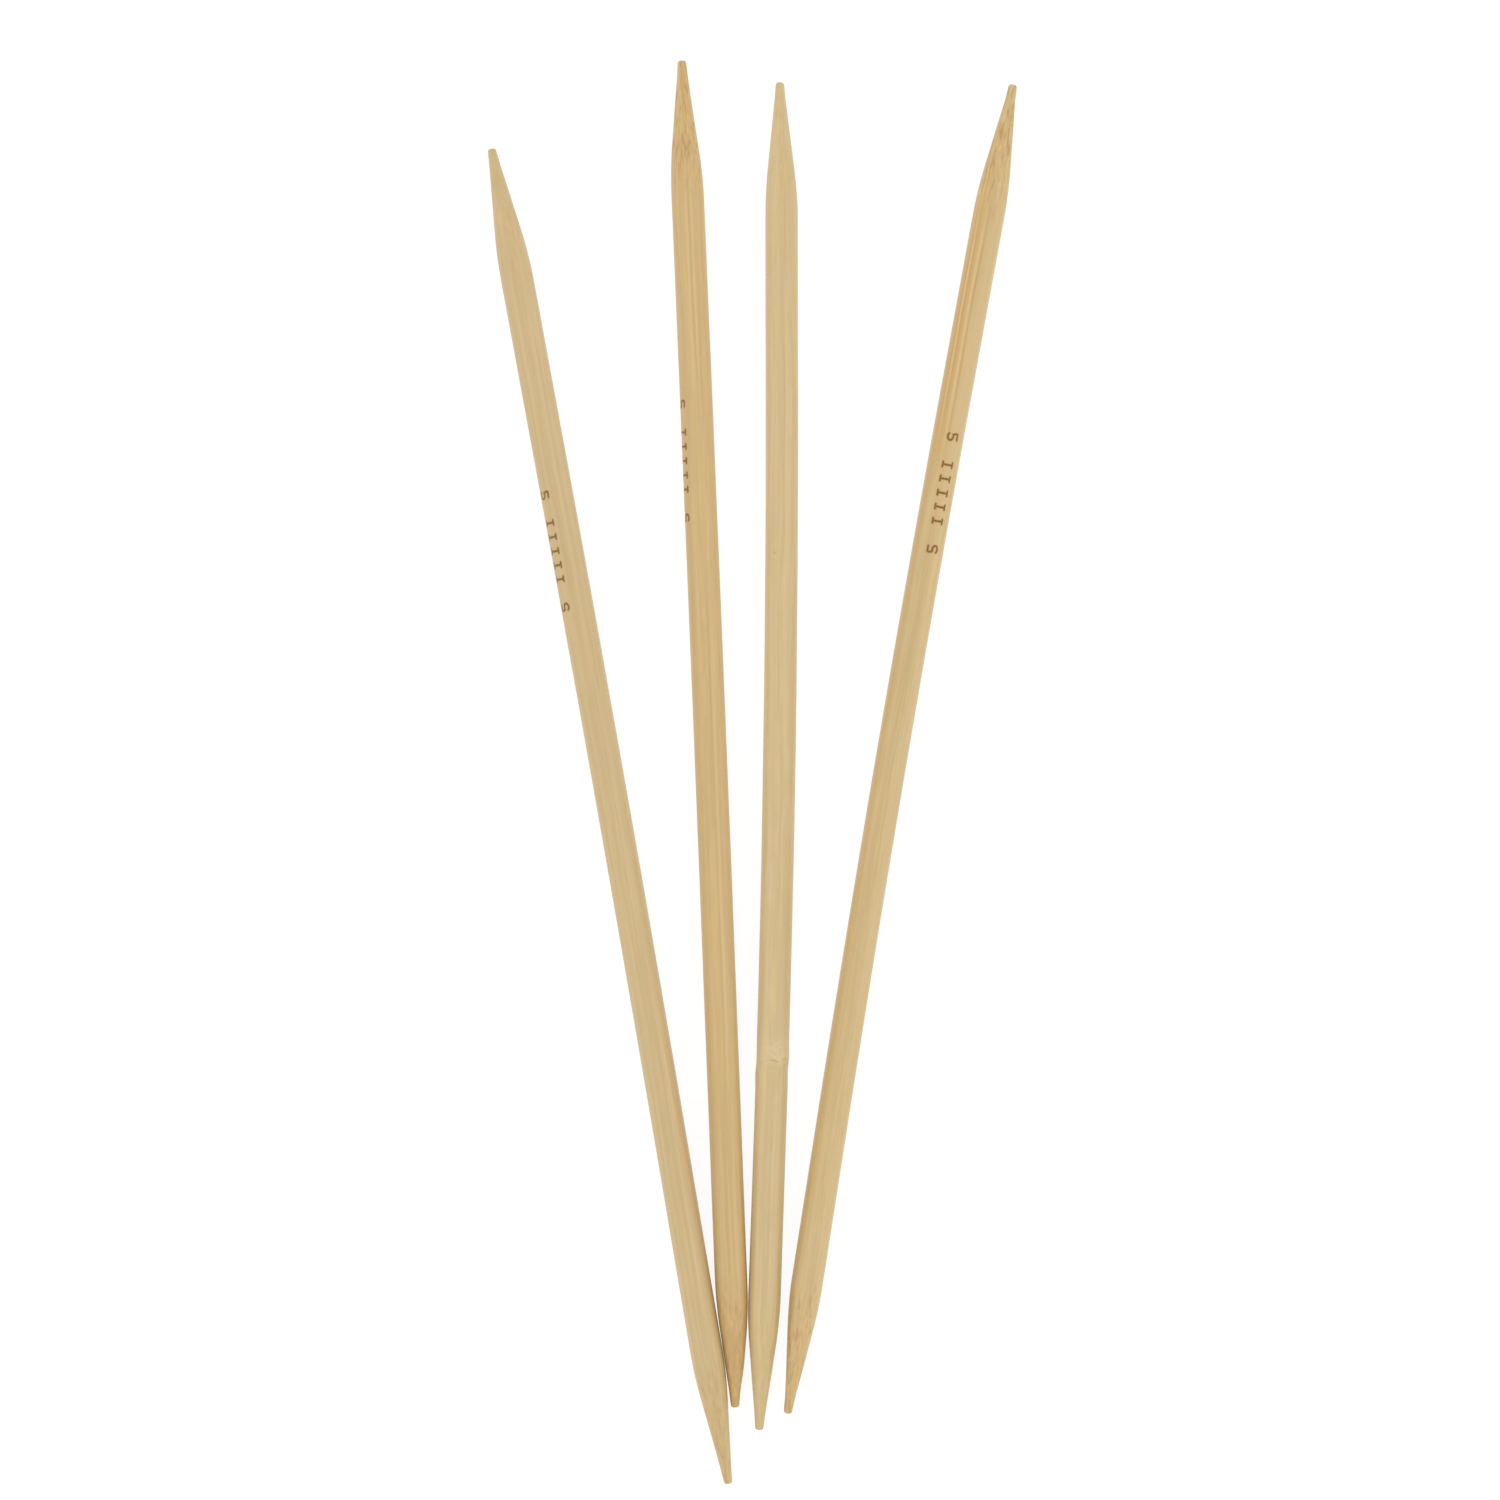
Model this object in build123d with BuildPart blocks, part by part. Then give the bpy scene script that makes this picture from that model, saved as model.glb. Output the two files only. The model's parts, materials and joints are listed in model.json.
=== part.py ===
from build123d import *
import os
from dataclasses import dataclass
from math import atan, cos, radians, sin, sqrt, tan

# Four double-pointed bamboo knitting needles, laid flat beside each other in a loose fan.
# Each needle is one turned stick with a point at both ends, and nothing joins it to the others.
# They lie on the plane Z = 0, each with its axis one radius up. Y runs up the fan, from the ends
# that are gathered to the ends that are spread, and X runs across it to the right. The origin is
# under the middle of the fan.

# Sizes that every needle shares, in millimetres.
NEEDLE_DIAMETER = 5.0
NEEDLE_LENGTH = 203.2
TIP_DIAMETER = 1.2  # across the blunt end
TIP_ROUND = 0.4  # on the blunt end's edge
TAPER_LENGTH = 16.7  # from the blunt end to where the cone meets the full diameter
SHOULDER_RADIUS = 70.0  # rounds the corner between cone and shaft
STRAIGHT_RUN = 47.0  # from each blunt end to where the bend in the middle starts


@dataclass
class Lay:
    """How one needle lies in the fan. Lengths are in millimetres and angles in degrees."""

    tip_height: float  # of its lower tip, up Y from the lowest tip of the fan
    lean: float  # of its lower run, to the right of Y
    bend: float  # turn to the left along the middle of the shaft, never zero
    gap: float  # across the fan to the needle on its left, where the two are closest
    extra_length: float = 0.0  # over NEEDLE_LENGTH


TOUCHING = 0.03  # clearance between two needles that lie against each other
APART = 1.1  # clearance of the last needle, which lies by itself

# How closely the place where two needles are nearest to each other is looked for.
HEIGHT_STEP = 0.25  # between the heights up the fan that are tried
REFINEMENTS = 4  # of the place on a needle that is seen at one height

FAN = {
    "needle_1": Lay(tip_height=0.0, lean=-9.6, bend=0.85, gap=0.0, extra_length=1.2),
    "needle_2": Lay(tip_height=11.5, lean=-2.2, bend=0.2, gap=TOUCHING),
    "needle_3": Lay(tip_height=8.1, lean=1.9, bend=2.0, gap=TOUCHING),
    "needle_4": Lay(tip_height=10.6, lean=8.9, bend=-1.5, gap=APART),
}


def radius_at(from_tip):
    """Radius of a needle at a distance from its blunt end: cone, rounded shoulder or shaft."""
    half_angle = atan((NEEDLE_DIAMETER - TIP_DIAMETER) / 2 / TAPER_LENGTH)
    setback = SHOULDER_RADIUS * tan(half_angle / 2)
    to_shaft = TAPER_LENGTH + setback - from_tip
    if to_shaft <= 0:
        return NEEDLE_DIAMETER / 2
    if to_shaft < setback * (1 + cos(half_angle)):
        return NEEDLE_DIAMETER / 2 - SHOULDER_RADIUS + sqrt(SHOULDER_RADIUS**2 - to_shaft**2)
    return TIP_DIAMETER / 2 + from_tip * tan(half_angle)


def reach(lay, y, side):
    """How far to the right of its lower tip a needle reaches at a height y.

    The side is 1 for the needle's right side and -1 for its left side.
    """
    lean = radians(lay.lean)
    radius = NEEDLE_DIAMETER / 2
    for _ in range(REFINEMENTS):
        from_tip = (y - lay.tip_height + side * radius * sin(lean)) / cos(lean)
        radius = radius_at(from_tip)
    return from_tip * sin(lean) + side * radius * cos(lean)


def tip_spacing(left, right):
    """Distance across the fan between two lower tips that leaves the right needle its gap.

    The sides of two needles that spread upwards are closest somewhere along their lower runs.
    """
    start = max(left.tip_height, right.tip_height) + TIP_DIAMETER
    heights = [start + step * HEIGHT_STEP for step in range(round(STRAIGHT_RUN / HEIGHT_STEP))]
    return right.gap + max(reach(left, y, 1) - reach(right, y, -1) for y in heights)


def lower_tips():
    """Lower tip of every needle on its axis, with the first one at X = 0."""
    lays = list(FAN.values())
    axis_height = NEEDLE_DIAMETER / 2
    x = 0.0
    tips = [Vector(x, lays[0].tip_height, axis_height)]
    for left, right in zip(lays, lays[1:]):
        x += tip_spacing(left, right)
        tips.append(Vector(x, right.tip_height, axis_height))
    return tips


def spine(lay, tip):
    """Axis of one needle from its lower tip: a straight run, a long bend and a straight run."""
    bend_length = NEEDLE_LENGTH + lay.extra_length - 2 * STRAIGHT_RUN
    with BuildLine():
        lower = PolarLine(tip, STRAIGHT_RUN, 90 - lay.lean)
        bend = JernArc(lower @ 1, lower % 1, bend_length / abs(radians(lay.bend)), lay.bend)
        upper = Line(bend @ 1, bend @ 1 + STRAIGHT_RUN * (bend % 1))
    return lower, bend, upper


def fan_middle():
    """Middle of the fan, in the frame that has the first needle's lower tip at its origin."""
    edges = [edge for lay, tip in zip(FAN.values(), lower_tips()) for edge in spine(lay, tip)]
    middle = Compound(edges).bounding_box().center()
    return Vector(middle.X, middle.Y)


def spines():
    """Name and axis of every needle, in the frame of the part."""
    middle = fan_middle()
    for (name, lay), tip in zip(FAN.items(), lower_tips()):
        yield name, spine(lay, tip - middle)


def make_needle(lower, bend, upper):
    """One needle along its axis: a pointed run, the bend and the other pointed run."""
    with BuildPart() as needle:
        for tip, inwards in ((lower @ 0, lower % 0), (upper @ 1, -(upper % 1))):
            with BuildSketch(Plane(origin=tip, x_dir=inwards, z_dir=(0, 0, 1))):
                with BuildLine():
                    Polyline(
                        (0, 0),
                        (0, TIP_DIAMETER / 2),
                        (TAPER_LENGTH, NEEDLE_DIAMETER / 2),
                        (STRAIGHT_RUN, NEEDLE_DIAMETER / 2),
                        (STRAIGHT_RUN, 0),
                        close=True,
                    )
                make_face()
                blunt_edge = vertices().group_by(Axis.X)[0].sort_by(Axis.Y)[-1]
                fillet(blunt_edge, TIP_ROUND)
                shoulder = vertices().group_by(Axis.Y)[-1].sort_by(Axis.X)[0]
                fillet(shoulder, SHOULDER_RADIUS)
            revolve(axis=Axis(tip, inwards))
        with BuildSketch(Plane(origin=bend @ 0, z_dir=bend % 0)):
            Circle(NEEDLE_DIAMETER / 2)
        sweep(path=bend)
    return needle


os.makedirs("parts", exist_ok=True)
for name, axis in spines():
    needle = make_needle(*axis)
    needle.part.label = name
    export_step(needle.part, f"parts/{name}.step")
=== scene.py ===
import json
import math
from dataclasses import dataclass

import bpy
import numpy as np
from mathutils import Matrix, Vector


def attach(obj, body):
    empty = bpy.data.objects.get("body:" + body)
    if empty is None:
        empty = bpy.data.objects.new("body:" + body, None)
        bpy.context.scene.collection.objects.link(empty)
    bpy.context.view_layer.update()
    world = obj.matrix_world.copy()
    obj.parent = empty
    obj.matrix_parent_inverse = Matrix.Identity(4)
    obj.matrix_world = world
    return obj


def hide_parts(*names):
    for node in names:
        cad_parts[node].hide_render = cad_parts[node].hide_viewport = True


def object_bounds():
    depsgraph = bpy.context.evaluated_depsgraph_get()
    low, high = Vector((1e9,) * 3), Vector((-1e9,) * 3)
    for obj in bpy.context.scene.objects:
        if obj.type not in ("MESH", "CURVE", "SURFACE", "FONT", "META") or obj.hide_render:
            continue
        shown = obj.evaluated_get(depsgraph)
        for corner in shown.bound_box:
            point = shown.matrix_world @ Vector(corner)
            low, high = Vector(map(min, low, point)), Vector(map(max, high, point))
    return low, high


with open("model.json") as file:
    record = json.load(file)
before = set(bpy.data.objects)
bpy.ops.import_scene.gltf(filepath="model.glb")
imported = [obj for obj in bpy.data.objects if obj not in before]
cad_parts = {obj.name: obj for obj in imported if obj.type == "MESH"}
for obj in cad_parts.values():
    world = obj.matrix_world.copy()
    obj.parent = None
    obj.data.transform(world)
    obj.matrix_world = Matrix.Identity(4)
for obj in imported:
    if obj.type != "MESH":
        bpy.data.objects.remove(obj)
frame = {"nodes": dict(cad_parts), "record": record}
CAD_LOW, CAD_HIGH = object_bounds()

# Four double-pointed bamboo knitting needles in a loose fan. Each CAD node is replaced by a finely
# meshed needle on the same axis and outline, with the relief, grain, growth ring and burnt size row
# of the real one. A needle's lengths are in millimetres until its mesh is made, and the stage's
# are in metres.
METRES = 0.001

# The outline that all the needles share, as in the CAD model.
SHAFT_RADIUS = 2.5
TIP_RADIUS = 0.6
TIP_ROUND = 0.4
TAPER_LENGTH = 16.7
SHOULDER_RADIUS = 70.0
STRAIGHT_RUN = 47.0

# How finely a needle is meshed: the vertices in a ring, and the steps from ring to ring.
SIDES = 128
ROUND_RINGS = 8  # on the rounded edge of a blunt end
FIRST_STEP = 0.1  # from there to the first ring of the cone
TAPER_STEP = 0.3
SHAFT_STEP = 0.42
FINE_STEP = 0.1  # at the size row or the growth ring
PAST_TAPER = 5.0  # how far beyond the cone the taper's step goes on
ROW_MARGIN = 1.0  # how far past both ends of the size row the fine step goes on
RING_MARGIN = 4.0  # and to each side of the growth ring

# How the needles were ground and sanded by hand. An unevenness is given by its height, how many
# cells it has round the needle, and how long a cell is.
SHOULDER_WANDER = (0.5, 5, 60)  # along the needle
SHIFT_STARTS = 1.0  # from the tip, where its shoulder's shift sets in
SHIFT_IS_WHOLE = 7.0
OFF_CENTRE_RUN = 19.0  # how far from a tip the cone's axis starts to leave the shaft's
SANDED_FROM = 3.0  # from the tip, where the sanding and the relief have their full depth
RELIEF = ((0.012, 5, 34), (0.006, 11, 15), (0.004, 40, 6), (0.003, 64, 2.4))

# Relief of the growth ring: height, place along the needle from the ring, and width. A negative
# height is a groove.
RING_ALL_ROUND = ((0.03, 0.9, 1.6), (-0.02, 0.0, 0.25))
RING_TO_RIGHT = ((0.06, 1.0, 1.8), (-0.07, -1.6, 1.2))  # the opposite on the left
RING_TILT = 0.3
RING_TILT_ANGLE = 0.8  # radians round the needle, where the ring is furthest up it
RING_WAVE = (0.25, 13, 8)  # along the needle

FAR_OFF = 9.0  # stands for a distance that is too long to matter


# ---------------------------------------------------------------------------------------------
# Geometry


class Spine:
    """Axis of one needle, found from its CAD node: a straight run, a long bend, a straight run."""

    def __init__(self, node, upper_way):
        points = np.array([v.co for v in frame["nodes"][node].data.vertices]) / METRES
        low_end, high_end = points[points[:, 1].argmin()], points[points[:, 1].argmax()]
        way = (high_end - low_end) / np.linalg.norm(high_end - low_end)
        far = points @ way
        tip_depth = 0.02  # within which the vertices of a blunt end's flat lie
        self.lower_tip = points[far < far.min() + tip_depth].mean(0)
        self.upper_tip = points[far > far.max() - tip_depth].mean(0)
        chord = self.upper_tip - self.lower_tip
        heading = math.atan2(chord[1], chord[0])
        half_turn = math.atan2(upper_way[1], upper_way[0]) - heading
        half_chord = np.linalg.norm(chord) / 2
        self.bend_radius = (half_chord - STRAIGHT_RUN * math.cos(half_turn)) / math.sin(half_turn)
        self.bend_length = 2 * half_turn * self.bend_radius
        self.length = 2 * STRAIGHT_RUN + self.bend_length
        self.lower_heading = heading - half_turn
        self.radius = (points[:, 2].max() - points[:, 2].min()) / 2

    def at(self, along):
        """Points on the axis and its directions there, at distances from the lower tip."""
        bent = np.clip(along - STRAIGHT_RUN, 0, self.bend_length)
        turn = bent / self.bend_radius
        ahead = np.minimum(along, STRAIGHT_RUN) + self.bend_radius * np.sin(turn)
        aside = self.bend_radius * (1 - np.cos(turn))
        rest = np.clip(along - STRAIGHT_RUN - self.bend_length, 0, None)
        ahead, aside = ahead + rest * np.cos(turn), aside + rest * np.sin(turn)
        c, s = math.cos(self.lower_heading), math.sin(self.lower_heading)
        places = self.lower_tip + np.stack([ahead * c - aside * s, ahead * s + aside * c, 0 * ahead], 1)
        headings = self.lower_heading + turn
        return places, np.stack([np.cos(headings), np.sin(headings), 0 * headings], 1)


def outline(from_tip, radius):
    """Radius of a needle at distances from its nearer tip: blunt end, cone, rounded shoulder, shaft."""
    half_angle = math.atan((radius - TIP_RADIUS) / TAPER_LENGTH)
    found = np.minimum(radius, TIP_RADIUS + from_tip * math.tan(half_angle))
    setback = SHOULDER_RADIUS * math.tan(half_angle / 2)
    to_shaft = TAPER_LENGTH + setback - from_tip
    arc = radius - SHOULDER_RADIUS + np.sqrt(SHOULDER_RADIUS**2 - np.clip(to_shaft, 0, None) ** 2)
    found = np.where((to_shaft > 0) & (to_shaft < setback * (1 + math.cos(half_angle))), arc, found)
    flat = flat_radius(half_angle)
    round_length = TIP_ROUND * (1 - math.sin(half_angle))
    nose = flat + np.sqrt(TIP_ROUND**2 - np.clip(TIP_ROUND - from_tip, 0, None) ** 2)
    return np.where(from_tip < round_length, nose, found)


def flat_radius(half_angle):
    """Radius of the flat that the rounding leaves on the blunt end."""
    return TIP_RADIUS + TIP_ROUND * (math.tan(half_angle) - 1 / math.cos(half_angle))


def ring_places(length, fine):
    """Distances from the lower tip of every ring of vertices, closer together in the fine stretch."""
    angles = np.linspace(0, math.pi / 2, ROUND_RINGS, endpoint=False)
    nose = TIP_ROUND * (1 - np.cos(angles))
    taper_end = TAPER_LENGTH + PAST_TAPER
    taper = np.arange(nose[-1] + FIRST_STEP, taper_end, TAPER_STEP)
    end = np.concatenate([nose, taper])
    low, high = fine
    stretches = (
        (taper_end, low, SHAFT_STEP),
        (low, high, FINE_STEP),
        (high, length - taper_end, SHAFT_STEP),
    )
    shaft = [np.arange(start, stop - step / 2, step) for start, stop, step in stretches]
    return np.concatenate([end, *shaft, (length - end)[::-1]])


def smooth(value, low, high):
    """0 below low, 1 above high and a smooth step between them."""
    t = np.clip((value - low) / (high - low), 0, 1)
    return t * t * (3 - 2 * t)


def streaky(rng, around, along, unevenness):
    """Smooth noise on the needle's surface, drawn out along it."""
    height, cells, cell_length = unevenness
    rows = int(along.max() / cell_length) + 3
    lattice = rng.uniform(-1, 1, (rows, cells))
    u = around / (2 * math.pi) * cells
    v = along / cell_length
    i, j = np.floor(v).astype(int), np.floor(u).astype(int)
    fv, fu = smooth(v - i, 0, 1), smooth(u - j, 0, 1)
    left, right = j % cells, (j + 1) % cells
    low = lattice[i, left] * (1 - fu) + lattice[i, right] * fu
    high = lattice[i + 1, left] * (1 - fu) + lattice[i + 1, right] * fu
    return height * (low * (1 - fv) + high * fv)


def ridges(shapes, along):
    """Height of smooth ridges and grooves, each with its height, its middle and its width."""
    return sum(height * np.exp(-(((along - middle) / width) ** 2)) for height, middle, width in shapes)


# ---------------------------------------------------------------------------------------------
# The burnt size row: the size numeral at both ends, readable from either, and a bar for each
# millimetre of the size between them.

CELL = 2.15
FIGURE_HEIGHT = 1.6
FIGURE_WIDTH = 1.15
STROKE = 0.34
FOOT = 0.38  # to each side at both ends of a bar
BARS = 5
ROW_CELLS = BARS + 4
ROW_LENGTH = CELL * (ROW_CELLS - 1) + FIGURE_WIDTH
BURN_DEPTH = 0.06
BURN_WALL = (-0.12, 0.06)  # outwards from a stroke's edge: where the groove's floor and wall end
RAGGED_EDGE = (0.03, 90, 0.35)  # across a stroke's edge


def five():
    """Strokes of the numeral 5, as a line of points about the middle of its cell.

    The shares of the half width and half height give the flag, the neck and the bowl their places.
    """
    w, h = FIGURE_WIDTH / 2, FIGURE_HEIGHT / 2
    bowl = 0.55 * h
    turns = np.radians(np.linspace(125, -140, 14))
    curve = [(w * 0.98 * math.cos(a), bowl - h + bowl * math.sin(a)) for a in turns]
    return [(w * 0.8, h), (-w * 0.72, h), (-w * 0.8, h - 1.5 * bowl + 0.35), *curve]


def size_row():
    """Strokes of the whole row, each a line of points (along, across) from its lower end."""
    middle = FIGURE_WIDTH / 2
    last = middle + CELL * (ROW_CELLS - 1)
    rows = [[(middle + x, y) for x, y in five()], [(last - x, -y) for x, y in five()]]
    for bar in range(BARS):
        x, half = middle + CELL * (bar + 2), FIGURE_HEIGHT / 2
        rows.append([(x, -half), (x, half)])
        rows += [[(x - FOOT, y), (x + FOOT, y)] for y in (-half, half)]
    return rows


def distance_to(lines, x, y):
    """Distance from each point to the nearest stroke."""
    nearest = np.full(x.shape, np.inf)
    for line in lines:
        for (x0, y0), (x1, y1) in zip(line, line[1:]):
            dx, dy = x1 - x0, y1 - y0
            t = np.clip(((x - x0) * dx + (y - y0) * dy) / (dx * dx + dy * dy), 0, 1)
            nearest = np.minimum(nearest, np.hypot(x - x0 - t * dx, y - y0 - t * dy))
    return nearest


# ---------------------------------------------------------------------------------------------
# What is particular to each needle. Angles are in degrees round the shaft from the top, to the right
# as seen from above with the upper end away. Distances are from the lower tip.


@dataclass
class Streak:
    """A line or band along the fibres."""

    tone: str
    angle: float
    width: float  # to each side
    start: float
    stop: float
    strength: float


@dataclass
class Point:
    """How one end of a needle was ground."""

    toast: float  # how much browner than the shaft it is
    dashes: float  # how plainly the cut fibres show on its cone
    aside: float  # of its tip, to the right of the shaft's axis
    fuller: tuple  # how much nearer to the tip its shoulder is, on the left and on the right


@dataclass
class Look:
    """What one needle looks like."""

    seed: int  # of its relief and its grain
    wood: tuple  # the needle's own middle colour
    skin_side: float  # angle that was nearest to the outside of the bamboo, where fibres crowd
    fibres: float  # how plainly they show
    sanded: float  # how far the surface lies inside the full diameter
    row_at: float  # angle of the burnt size row
    row_from_tip: float  # from the upper tip to the upper end of the row
    lower_point: Point
    upper_point: Point
    streaks: list
    flecks: list  # (angle, distance) of small dark spots
    ring_at: float = None  # where the stick has a growth ring


LOOKS = {
    "needle_1": Look(
        seed=11, wood=(0.535, 0.395, 0.192), skin_side=-70, fibres=0.25, sanded=0.045,
        row_at=-49, row_from_tip=52.3, flecks=[(34, 191.5)],
        lower_point=Point(toast=0.4, dashes=0.4, aside=-0.05, fuller=(0.0, 0.2)),
        upper_point=Point(toast=0.1, dashes=0.2, aside=-0.24, fuller=(0.0, 0.0)),
        streaks=[
            Streak("dark", -34, 7, 125, 190, 0.45),
            Streak("dark", -4, 6, 100, 190, 0.45),
            Streak("light", 15, 6, 110, 190, 0.50),
            Streak("dark", 26, 6, 110, 190, 0.40),
            Streak("dark", -12, 7, 60, 95, 0.45),
            Streak("dark", 5, 6, 15, 70, 0.50),
            Streak("light", 16, 6, 15, 70, 0.50),
            Streak("amber", 52, 20, 5, 80, 0.28),
            Streak("amber", 150, 30, 20, 190, 0.30),
        ],
    ),
    "needle_2": Look(
        seed=23, wood=(0.542, 0.379, 0.163), skin_side=-70, fibres=0.35, sanded=0.045,
        row_at=-67, row_from_tip=51.2, flecks=[],
        lower_point=Point(toast=0.8, dashes=0.6, aside=-0.12, fuller=(0.15, 2.4)),
        upper_point=Point(toast=0.25, dashes=0.8, aside=-0.03, fuller=(0.0, -0.8)),
        streaks=[
            Streak("dark", 9, 5, 40, 135, 0.85),
            Streak("light", 18, 6, 40, 125, 0.80),
            Streak("dark", 30, 6, 60, 100, 0.50),
            Streak("dark", 22, 5, 140, 178, 0.60),
            Streak("light", -7, 5, 145, 192, 1.00),
            Streak("dark", 3, 4, 150, 192, 0.90),
            Streak("light", 12, 4, 148, 196, 0.90),
            Streak("amber", 28, 9, 130, 190, 0.30),
            Streak("dark", -5, 6, 12, 48, 0.60),
            Streak("rust", 5, 35, 197, 203, 0.45),
            Streak("amber", -140, 25, 0, 203, 0.30),
        ],
    ),
    "needle_3": Look(
        seed=37, wood=(0.561, 0.423, 0.211), skin_side=60, fibres=0.18, sanded=0.045,
        row_at=168, row_from_tip=52.3, flecks=[(-25, 132.2)], ring_at=55.5,
        lower_point=Point(toast=0.25, dashes=0.2, aside=-0.13, fuller=(0.3, 0.0)),
        upper_point=Point(toast=0.0, dashes=0.15, aside=-0.22, fuller=(0.0, 0.0)),
        streaks=[
            Streak("dark", -12, 3, 57.5, 62, 0.60),
            Streak("dark", 4, 3, 58, 63.5, 0.70),
            Streak("dark", 17, 3, 58, 63, 0.60),
            Streak("light", 16, 6, 95, 180, 0.50),
            Streak("dark", 30, 6, 60, 95, 0.50),
            Streak("dark", 6, 7, 140, 178, 0.30),
            Streak("amber", 45, 16, 60, 150, 0.18),
            Streak("amber", 170, 40, 10, 190, 0.30),
        ],
    ),
    "needle_4": Look(
        seed=53, wood=(0.546, 0.398, 0.182), skin_side=-60, fibres=0.60, sanded=0.115,
        row_at=16, row_from_tip=53.4, flecks=[],
        lower_point=Point(toast=0.6, dashes=0.8, aside=0.16, fuller=(0.0, 0.0)),
        upper_point=Point(toast=0.35, dashes=1.0, aside=0.08, fuller=(0.0, 0.0)),
        streaks=[
            Streak("amber", -50, 20, 15, 192, 0.38),
            Streak("amber", -42, 30, 135, 202, 0.50),
            Streak("amber", -25, 14, 140, 200, 0.45),
            Streak("rosy", 30, 24, 130, 195, 0.70),
            Streak("light", -41, 5, 145, 190, 0.90),
            Streak("rust", -31, 4, 140, 194, 0.60),
            Streak("light", -13, 6, 140, 192, 1.00),
            Streak("rust", -3, 4, 140, 192, 0.55),
            Streak("rust", -48, 4, 140, 192, 0.50),
            Streak("dark", -41, 5, 100, 142, 0.55),
            Streak("dark", -19, 6, 100, 140, 0.50),
            Streak("amber", -160, 30, 10, 200, 0.30),
        ],
    ),
}

# Each tone is given as shares of the needle's own red, green and blue.
TONES = {
    "pale": (1.02, 1.03, 1.07),
    "warm": (0.985, 0.96, 0.905),
    "olive": (0.96, 0.98, 0.92),
    "rosy": (1.015, 0.975, 0.98),
    "heart": (1.025, 1.025, 1.035),
    "skin": (0.965, 0.96, 0.94),
    "light": (1.075, 1.08, 1.10),
    "dark": (0.87, 0.855, 0.82),
    "amber": (0.97, 0.79, 0.50),
    "toasted": (0.86, 0.77, 0.60),
    "gold": (1.12, 1.04, 0.80),
    "cut": (0.80, 0.64, 0.42),
    "rust": (0.90, 0.60, 0.34),
    "milky": (1.05, 1.07, 1.16),
    "scar": (0.80, 0.70, 0.60),
    "scorched": (0.80, 0.60, 0.24),
}


def toned(look, tone):
    """The needle's own colour with a tone's shift."""
    return tuple(wood * share for wood, share in zip(look.wood, TONES[tone]))


# ---------------------------------------------------------------------------------------------
# The needles' meshes


def shoulder_shift(spine, look, around, along):
    """How much nearer to the tip the shoulder is, on each side of the needle."""
    to_right = np.sin(around)
    shifts = []
    for point in (look.lower_point, look.upper_point):
        left, right = point.fuller
        shifts.append((left + right) / 2 + (right - left) / 2 * to_right)
    return np.where(along < spine.length / 2, *shifts)


def row_start(spine, look):
    """Distance from the lower tip to the lower end of the size row."""
    return spine.length - look.row_from_tip - ROW_LENGTH


def row_distance(rng, spine, look, around, along):
    """Distance of each point of the surface from the edges of the size row's strokes."""
    turned = (np.degrees(around) - look.row_at + 180) % 360 - 180
    across = -np.radians(turned) * spine.radius
    row = distance_to(size_row(), along - row_start(spine, look), across) - STROKE / 2
    return row + streaky(rng, around, along, RAGGED_EDGE)


def ring_distance(rng, look, around, along):
    """How far beyond the growth ring each point of the surface is. The ring is tilted and wavy."""
    if not look.ring_at:
        return np.full_like(along, FAR_OFF)
    tilt = RING_TILT * np.cos(around - RING_TILT_ANGLE)
    return along - look.ring_at - (tilt + streaky(rng, around, along, RING_WAVE))


def fine_stretch(spine, look):
    """Where the mesh has to be fine: at the growth ring, or else at the size row."""
    if look.ring_at:
        return look.ring_at - RING_MARGIN, look.ring_at + RING_MARGIN
    start = row_start(spine, look)
    return start - ROW_MARGIN, start + ROW_LENGTH + ROW_MARGIN


def make_surface(spine, look):
    """Vertices of a needle, with the values that its material reads at each of them."""
    rng = np.random.default_rng(look.seed)
    along_rings = ring_places(spine.length, fine_stretch(spine, look))
    angles = np.arange(SIDES) / SIDES * 2 * math.pi
    along, around = np.meshgrid(along_rings, angles, indexing="ij")
    from_tip = np.minimum(along, spine.length - along)

    # The points are ground by hand, so a shoulder is nearer to its tip on some sides than on others.
    shift = streaky(rng, around, along, SHOULDER_WANDER)
    shift += shoulder_shift(spine, look, around, along)
    radius = outline(from_tip + shift * smooth(from_tip, SHIFT_STARTS, SHIFT_IS_WHOLE), spine.radius)

    # Sanding takes a little off, not quite evenly, and the fibres stand out from the shaft.
    relief = sum(streaky(rng, around, along, unevenness) for unevenness in RELIEF)
    row = row_distance(rng, spine, look, around, along)
    relief -= BURN_DEPTH * (1 - smooth(row, *BURN_WALL))
    ring = ring_distance(rng, look, around, along)
    if look.ring_at:
        relief += ridges(RING_ALL_ROUND, ring) + np.sin(around) * ridges(RING_TO_RIGHT, ring)
    radius = radius + (relief - look.sanded) * smooth(from_tip, 0, SANDED_FROM)

    places, ways = spine.at(along_rings)
    rights = np.stack([ways[:, 1], -ways[:, 0], 0 * ways[:, 0]], 1)
    up = np.array([0, 0, 1.0])
    lower_share = np.clip(1 - along_rings / OFF_CENTRE_RUN, 0, 1)
    upper_share = np.clip(1 - (spine.length - along_rings) / OFF_CENTRE_RUN, 0, 1)
    aside = look.lower_point.aside * lower_share + look.upper_point.aside * upper_share
    places = places + aside[:, None] * rights
    out = np.sin(around)[..., None] * rights[:, None] + np.cos(around)[..., None] * up
    surface = places[:, None] + radius[..., None] * out
    surface[..., 2] = np.maximum(surface[..., 2], 0)
    return {
        "surface": surface,
        "ends": (spine.lower_tip + aside[0] * rights[0], spine.upper_tip + aside[-1] * rights[-1]),
        "local": np.stack([radius * np.sin(around), radius * np.cos(around), along], -1),
        "row": np.clip(row, -FAR_OFF, FAR_OFF),
        "ring": np.clip(ring, -FAR_OFF, FAR_OFF),
    }


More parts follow.
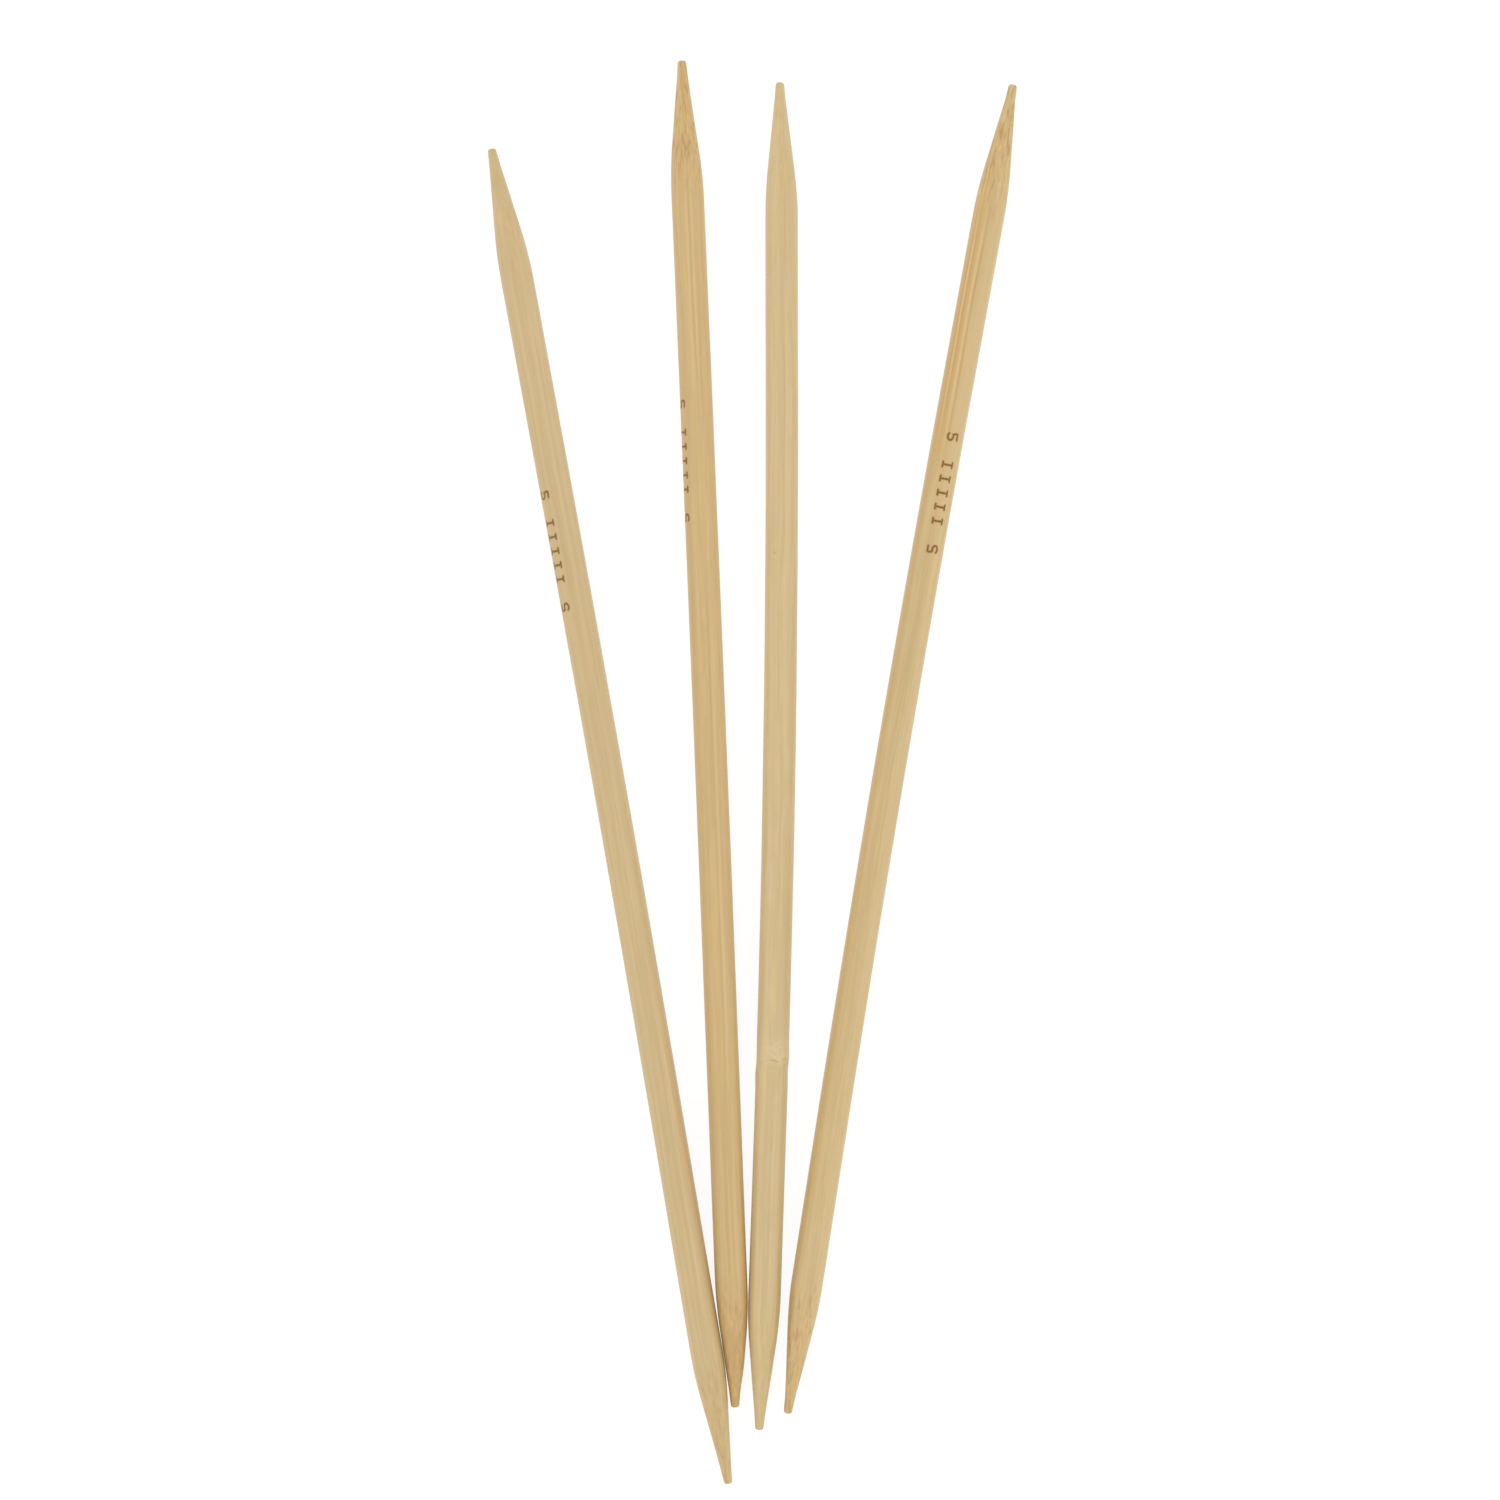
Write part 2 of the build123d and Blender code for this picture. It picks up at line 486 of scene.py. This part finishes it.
MAP_STRIPS = 4
MAP_MARGIN = 0.004  # round each strip of the texture map
MAP_TIP = 0.0035  # how far a blunt end's flat reaches into the margin


def bake_map(places, length):
    """The needle's texture map, corner by corner: its surface is unrolled and cut into strips."""
    across = (1 - 2 * MAP_MARGIN * MAP_STRIPS) / MAP_STRIPS
    where = np.clip(places / length, 0, 1) * MAP_STRIPS
    strip = np.minimum(((where[:-1] + where[1:]) / 2).astype(int), MAP_STRIPS - 1)
    u0 = MAP_MARGIN + (where[:-1] - strip) * (1 - 2 * MAP_MARGIN)
    u1 = MAP_MARGIN + (where[1:] - strip) * (1 - 2 * MAP_MARGIN)
    v0 = MAP_MARGIN + strip * (across + 2 * MAP_MARGIN)
    step = across / SIDES
    side = np.arange(SIDES)
    low, high = v0[:, None] + side * step, v0[:, None] + (side + 1) * step
    u0, u1 = np.broadcast_to(u0[:, None], low.shape), np.broadcast_to(u1[:, None], low.shape)
    corners = ((u0, low), (u0, high), (u1, high), (u1, low))
    return np.stack([np.stack(corner, -1) for corner in corners], 2)


def bake_corners(places, length):
    """The texture map's place of every corner of the mesh, in the order of its faces."""
    quads = bake_map(places, length)
    low_edge, high_edge = quads[0], quads[-1]
    lower_middle = low_edge[:, :2].mean(1) - [MAP_TIP, 0]
    upper_middle = high_edge[:, 2:].mean(1) + [MAP_TIP, 0]
    lower_fan = np.stack([low_edge[:, 1], low_edge[:, 0], lower_middle], 1)
    upper_fan = np.stack([high_edge[:, 3], high_edge[:, 2], upper_middle], 1)
    return np.concatenate([faces.reshape(-1, 2) for faces in (quads, lower_fan, upper_fan)])


def needle_faces(rings):
    """Quads between the rings of vertices, and a fan of triangles at each blunt end."""
    ring, side = np.meshgrid(np.arange(rings - 1), np.arange(SIDES), indexing="ij")
    after = (side + 1) % SIDES
    here, beyond = ring * SIDES, (ring + 1) * SIDES
    quads = np.stack([here + side, here + after, beyond + after, beyond + side], -1).reshape(-1, 4)
    sides = np.arange(SIDES)
    nexts = (sides + 1) % SIDES
    count = rings * SIDES
    last = count - SIDES
    lower_fan = np.stack([nexts, sides, np.full(SIDES, count)], -1)
    upper_fan = np.stack([last + sides, last + nexts, np.full(SIDES, count + 1)], -1)
    return quads.tolist() + lower_fan.tolist() + upper_fan.tolist()


def make_needle(name, look):
    """One needle as a closed mesh of rings, capped by a fan at each blunt end."""
    mount = next(m for m in frame["record"]["mounts"] if m["name"] == f"{name}_upper_shaft")
    spine = Spine(name, mount["axis"])
    made = make_surface(spine, look)
    rings = made["surface"].shape[0]
    points = np.concatenate([made["surface"].reshape(-1, 3), np.array(made["ends"])]) * METRES
    mesh = bpy.data.meshes.new(name + "_bamboo")
    mesh.from_pydata(points.tolist(), [], needle_faces(rings))
    mesh.shade_smooth()

    def put(key, kind, grid, ends):
        attribute = mesh.attributes.new(key, kind, "POINT")
        values = np.concatenate([grid.reshape(rings * SIDES, -1), ends]).astype(np.float32)
        attribute.data.foreach_set("vector" if kind == "FLOAT_VECTOR" else "value", values.ravel())

    put("local", "FLOAT_VECTOR", made["local"], [[0, 0, 0], [0, 0, spine.length]])
    for key in ("row", "ring"):
        grid = made[key]
        put(key, "FLOAT", grid, [[grid[0].mean()], [grid[-1].mean()]])

    corners = bake_corners(made["local"][:, 0, 2], spine.length)
    uv = mesh.uv_layers.new(name="OFBake")
    uv.data.foreach_set("uv", corners.astype(np.float32).ravel())
    mesh.update()
    needle = bpy.data.objects.new(name + "_bamboo", mesh)
    bpy.context.scene.collection.objects.link(needle)
    needle.data.materials.append(bamboo(name + "_bamboo", look, spine.length))
    return needle


# ---------------------------------------------------------------------------------------------
# Materials


class Graph:
    """A material's node tree, built by calls that return output sockets."""

    def __init__(self, name):
        self.material = bpy.data.materials.new(name)
        self.material.use_nodes = True
        self.tree = self.material.node_tree
        self.shader = self.tree.nodes["Principled BSDF"]

    def add(self, kind, inputs, **properties):
        node = self.tree.nodes.new(kind)
        for key, value in properties.items():
            setattr(node, key, value)
        for key, value in inputs.items():
            self.set(node.inputs[key], value)
        return node

    def set(self, socket, value):
        if isinstance(value, bpy.types.NodeSocket):
            self.tree.links.new(value, socket)
        else:
            socket.default_value = value

    def attribute(self, name, output="Fac"):
        return self.add("ShaderNodeAttribute", {}, attribute_name=name).outputs[output]

    def math(self, operation, a, b=0.0, c=0.0):
        return self.add("ShaderNodeMath", {0: a, 1: b, 2: c}, operation=operation).outputs[0]

    def product(self, first, *others):
        for other in others:
            first = self.math("MULTIPLY", first, other)
        return first

    def vector(self, operation, a, b=(0.0, 0.0, 0.0)):
        return self.add("ShaderNodeVectorMath", {0: a, 1: b}, operation=operation).outputs[0]

    def measure(self, operation, a, b):
        return self.add("ShaderNodeVectorMath", {0: a, 1: b}, operation=operation).outputs["Value"]

    def part(self, vector, axis):
        return self.add("ShaderNodeSeparateXYZ", {0: vector}).outputs[axis]

    def grey(self, value):
        return self.add("ShaderNodeCombineColor", {0: value, 1: value, 2: value}).outputs[0]

    def spread(self, value, low, high, to_low=0.0, to_high=1.0, kind="SMOOTHSTEP"):
        inputs = {"Value": value, "From Min": low, "From Max": high, "To Min": to_low, "To Max": to_high}
        return self.add("ShaderNodeMapRange", inputs, interpolation_type=kind).outputs[0]

    def noise(self, place, scale=1.0, detail=2.0, roughness=0.5, output="Fac"):
        inputs = {"Vector": place, "Scale": scale, "Detail": detail, "Roughness": roughness}
        return self.add("ShaderNodeTexNoise", inputs).outputs[output]

    def cells(self, place, scale):
        inputs = {"Vector": place, "Scale": scale, "Randomness": 1.0}
        return self.add("ShaderNodeTexVoronoi", inputs).outputs["Distance"]

    def mix(self, share, a, b, blend="MIX"):
        node = self.add("ShaderNodeMix", {}, data_type="RGBA", blend_type=blend)
        for socket, value in ((node.inputs[0], share), (node.inputs[6], a), (node.inputs[7], b)):
            colour = (*value, 1.0) if isinstance(value, tuple) and len(value) == 3 else value
            self.set(socket, colour)
        return node.outputs[2]


SEED_STEP = 7.3  # between the places where two seeds look at the patterns

# How often each pattern repeats, per millimetre across the needle (twice) and along it.
WANDERING = (0.12, 0.12, 0.035)
LONG_FIBRES = (1.0, 1.0, 0.016)
SHORTER_FIBRES = (1.0, 1.0, 0.034)
PATCHES = (0.7, 0.7, 0.25)
CUT_FIBRES = (2.6, 2.6, 0.38)
KNOTS = (1.1, 1.1, 1.9)

STREAK_FADE = 20.0  # how far before its end a streak starts to fade
POINT_RUN = TAPER_LENGTH + 6.0  # from a tip to where the point's own colours start
TIP_RUN = 0.3 * TAPER_LENGTH  # and to where the browning is complete
SCAR_ANGLE = 8  # where the growth ring has left a dark scar
CHARRED = (0.185, 0.078, 0.003)
COAT = 0.25  # of wax
COAT_ROUGHNESS = 0.35
BUMP = 0.35
BUMP_HEIGHT = 0.00004


def way_out(degrees):
    """Unit vector across the needle at an angle round it."""
    angle = math.radians(degrees)
    return math.sin(angle), math.cos(angle), 0.0


class Wood:
    """The sockets that every part of a needle's material is worked out from."""

    def __init__(self, g, look):
        self.here = g.attribute("local", "Vector")
        self.along = g.part(self.here, "Z")
        self.place = g.vector("ADD", self.here, (look.seed * SEED_STEP, 0.0, 0.0))

        # Fibres wander a little on their way, so that a streak comes and goes along the shaft.
        slow = g.noise(g.vector("MULTIPLY", self.place, WANDERING), output="Color")
        wander = g.vector("MULTIPLY", g.vector("SUBTRACT", slow, (0.5, 0.5, 0.5)), (1.2, 1.2, 0.0))
        self.strayed = g.vector("ADD", self.place, wander)
        outward = g.vector("ADD", self.here, g.vector("MULTIPLY", wander, (0.4, 0.4, 0.0)))
        self.outward = g.vector("NORMALIZE", g.vector("MULTIPLY", outward, (1.0, 1.0, 0.0)))

        fibres = g.vector("MULTIPLY", self.strayed, LONG_FIBRES)
        shorter = g.vector("MULTIPLY", self.strayed, SHORTER_FIBRES)
        self.strands = g.noise(fibres, 2.4, 1.0, 0.5)
        self.grain = g.noise(fibres, 5.5, 3.0, 0.65)
        self.broad = g.noise(shorter, 0.8)
        self.bundles = g.cells(shorter, 2.0)


def ground_tone(g, look, wood):
    """Colour between the fibres: broad bands and patches, and darker towards the skin side."""
    patches = g.noise(g.vector("MULTIPLY", wood.place, PATCHES), detail=3.0, output="Color")
    colour = g.mix(g.spread(wood.broad, 0.34, 0.66), toned(look, "pale"), toned(look, "warm"))
    for axis, tone in (("X", "olive"), ("Y", "rosy")):
        share = g.spread(g.part(patches, axis), 0.42, 0.68, 0.0, 0.8)
        colour = g.mix(share, colour, toned(look, tone))
    skinwards = g.spread(g.measure("DOT_PRODUCT", wood.here, way_out(look.skin_side)), -2.5, 2.5)
    colour = g.mix(1.0, colour, g.mix(skinwards, TONES["heart"], TONES["skin"]), "MULTIPLY")
    for pattern in (wood.strands, wood.grain):
        shade = g.spread(pattern, 0.28, 0.72, 0.94, 1.05, "LINEAR")
        colour = g.mix(1.0, colour, g.grey(shade), "MULTIPLY")
    crowd = g.spread(skinwards, 0.0, 1.0, 0.25, 1.0)
    thread = g.product(g.spread(wood.bundles, 0.27, 0.09), crowd, look.fibres)
    return g.mix(thread, colour, toned(look, "amber"))


def streak_share(g, wood, streak):
    """How strongly a streak shows: fully on its line, and not at all beside it or past its ends."""
    edge = math.cos(math.radians(streak.width))
    facing = g.measure("DOT_PRODUCT", wood.outward, way_out(streak.angle))
    across = g.spread(facing, edge, 0.5 + 0.5 * edge)
    fade = min(STREAK_FADE, (streak.stop - streak.start) / 3)
    begins = g.spread(wood.along, streak.start, streak.start + fade)
    ends = g.spread(wood.along, streak.stop, streak.stop - fade)
    return g.product(across, g.product(begins, ends), streak.strength)


def add_streaks(g, look, wood, colour):
    """The streaks and flecks that are this needle's own."""
    uneven = g.spread(wood.grain, 0.2, 0.6, 1.15, 0.75)
    for streak in look.streaks:
        share = g.product(streak_share(g, wood, streak), uneven)
        colour = g.mix(share, colour, toned(look, streak.tone))
    for angle, distance in look.flecks:
        x, y, _ = way_out(angle)
        spot = (x * SHAFT_RADIUS, y * SHAFT_RADIUS, distance)
        apart = g.measure("DISTANCE", wood.here, spot)
        colour = g.mix(g.spread(apart, 0.32, 0.08, 0.0, 0.7), colour, toned(look, "rust"))
    return colour


def brown_points(g, look, wood, colour, length):
    """The points are browner than the shaft, and the fibres that they cut across show as dashes."""
    patchy = g.spread(wood.broad, 0.35, 0.65, 0.65, 1.0)
    cut = g.noise(g.vector("MULTIPLY", wood.strayed, CUT_FIBRES), detail=1.5)
    dark_dash, gold_dash = g.spread(cut, 0.53, 0.66), g.spread(cut, 0.45, 0.33)
    for point, shaft, tip in (
        (look.lower_point, POINT_RUN, TIP_RUN),
        (look.upper_point, length - POINT_RUN, length - TIP_RUN),
    ):
        share = g.product(g.spread(wood.along, shaft, tip, 0.0, point.toast), patchy)
        colour = g.mix(share, colour, toned(look, "toasted"))
        on_cone = g.spread(wood.along, shaft, (shaft + tip) / 2, 0.0, point.dashes)
        colour = g.mix(g.product(dark_dash, on_cone), colour, toned(look, "cut"))
        colour = g.mix(g.product(gold_dash, on_cone), colour, toned(look, "gold"))
    return colour


def add_growth_ring(g, look, wood, colour):
    """A milky, swirled band beyond the growth ring, and the ring's line with its dark scar."""
    ring = g.attribute("ring")
    band = g.product(g.spread(ring, -1.4, 0.4), g.spread(ring, 5.0, 1.5))
    knotty = g.noise(g.vector("MULTIPLY", wood.place, KNOTS))
    swirls = g.product(band, g.spread(knotty, 0.35, 0.62, 0.35, 1.0))
    colour = g.mix(swirls, colour, toned(look, "milky"))
    line = g.spread(g.math("ABSOLUTE", ring), 0.22, 0.05)
    facing = g.measure("DOT_PRODUCT", wood.outward, way_out(SCAR_ANGLE))
    scar = g.spread(facing, 0.965, 0.992, 0.14, 0.9)
    return g.mix(g.product(line, scar), colour, toned(look, "scar"))


def bamboo(name, look, length):
    """Waxed bamboo. Its fibres run through the whole stick, so the tapers cut across them."""
    g = Graph(name)
    wood = Wood(g, look)
    colour = ground_tone(g, look, wood)
    colour = add_streaks(g, look, wood, colour)
    colour = brown_points(g, look, wood, colour, length)
    if look.ring_at:
        colour = add_growth_ring(g, look, wood, colour)

    # The row is burnt in: dark in the strokes, with a scorched edge.
    row = g.attribute("row")
    burn = g.product(g.spread(row, 0.06, -0.08), g.spread(wood.grain, 0.25, 0.6, 0.84, 0.98))
    colour = g.mix(g.spread(row, 0.22, 0.0, 0.0, 0.4), colour, toned(look, "scorched"))
    colour = g.mix(burn, colour, CHARRED)

    shine = g.spread(wood.grain, 0.3, 0.7, 0.44, 0.56)
    height = g.math("ADD", g.product(wood.grain, 0.6), g.product(wood.strands, 0.8))
    bump = g.add("ShaderNodeBump", {"Height": height, "Strength": BUMP, "Distance": BUMP_HEIGHT})
    g.set(g.shader.inputs["Base Color"], colour)
    g.set(g.shader.inputs["Roughness"], g.math("MAXIMUM", shine, g.product(burn, 0.8)))
    g.set(g.shader.inputs["Normal"], bump.outputs[0])
    g.shader.inputs["Coat Weight"].default_value = COAT
    g.shader.inputs["Coat Roughness"].default_value = COAT_ROUGHNESS
    return g.material


# ---------------------------------------------------------------------------------------------
# Stage, in metres

FLOOR_HALF = 4.0
FLOOR_WHITE = (0.15, 0.15, 0.15, 1)
FLOOR_GLOW = 0.89
TENT_LIGHT = 1.03
SOFTBOX_WIDTH = 1.6
SOFTBOX_HEIGHT = 1.2
SOFTBOX_POWER = 4.0
SOFTBOX_DISTANCE = 1.5
SOFTBOX_ELEVATION = math.radians(30)
SENSOR_WIDTH = 36.0
LENS = 135.0
VIEW_WIDTH = 0.22615  # what the picture shows at the height of the needles' axes
AIM_OFFSET = Vector((-0.00042, 0.00335, 0))  # from the middle of the fan to that of the picture


def make_floor():
    """A plain white table top, lit through from below as on a light table."""
    corners = [(x * FLOOR_HALF, y * FLOOR_HALF, 0) for x, y in ((-1, -1), (1, -1), (1, 1), (-1, 1))]
    mesh = bpy.data.meshes.new("floor")
    mesh.from_pydata(corners, [], [(0, 1, 2, 3)])
    floor = bpy.data.objects.new("floor", mesh)
    bpy.context.scene.collection.objects.link(floor)
    g = Graph("table_top")
    g.shader.inputs["Base Color"].default_value = FLOOR_WHITE
    g.shader.inputs["Roughness"].default_value = 0.9
    g.shader.inputs["Specular IOR Level"].default_value = 0.0
    g.shader.inputs["Emission Color"].default_value = (1, 1, 1, 1)
    g.shader.inputs["Emission Strength"].default_value = FLOOR_GLOW
    mesh.materials.append(g.material)


def make_lights():
    """A white light tent, with a wide softbox on either side of the table."""
    world = bpy.data.worlds.new("tent")
    world.use_nodes = True
    world.node_tree.nodes["Background"].inputs["Color"].default_value = (1, 1, 1, 1)
    world.node_tree.nodes["Background"].inputs["Strength"].default_value = TENT_LIGHT
    bpy.context.scene.world = world
    aside = SOFTBOX_DISTANCE * math.cos(SOFTBOX_ELEVATION)
    above = SOFTBOX_DISTANCE * math.sin(SOFTBOX_ELEVATION)
    for name, side in (("left_softbox", -1), ("right_softbox", 1)):
        lamp = bpy.data.lights.new(name, "AREA")
        lamp.shape, lamp.size, lamp.size_y = "RECTANGLE", SOFTBOX_WIDTH, SOFTBOX_HEIGHT
        lamp.energy = SOFTBOX_POWER
        softbox = bpy.data.objects.new(name, lamp)
        softbox.location = (side * aside, 0, above)
        softbox.rotation_euler = (-softbox.location).to_track_quat("-Z", "Y").to_euler()
        bpy.context.scene.collection.objects.link(softbox)


def make_camera():
    """A long lens straight above the fan, which fills most of the picture's height."""
    data = bpy.data.cameras.new("camera")
    data.sensor_width, data.lens = SENSOR_WIDTH, LENS
    data.clip_start, data.clip_end = 0.01, 20
    aim = (CAD_LOW + CAD_HIGH) / 2 + AIM_OFFSET
    camera = bpy.data.objects.new("camera", data)
    camera.location = aim + Vector((0, 0, VIEW_WIDTH * LENS / SENSOR_WIDTH))
    bpy.context.scene.collection.objects.link(camera)
    bpy.context.scene.camera = camera


make_camera()
make_floor()
make_lights()
bpy.context.scene.view_settings.view_transform = "Standard"

for name, look in LOOKS.items():
    needle = make_needle(name, look)
    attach(needle, name)
    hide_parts(name)
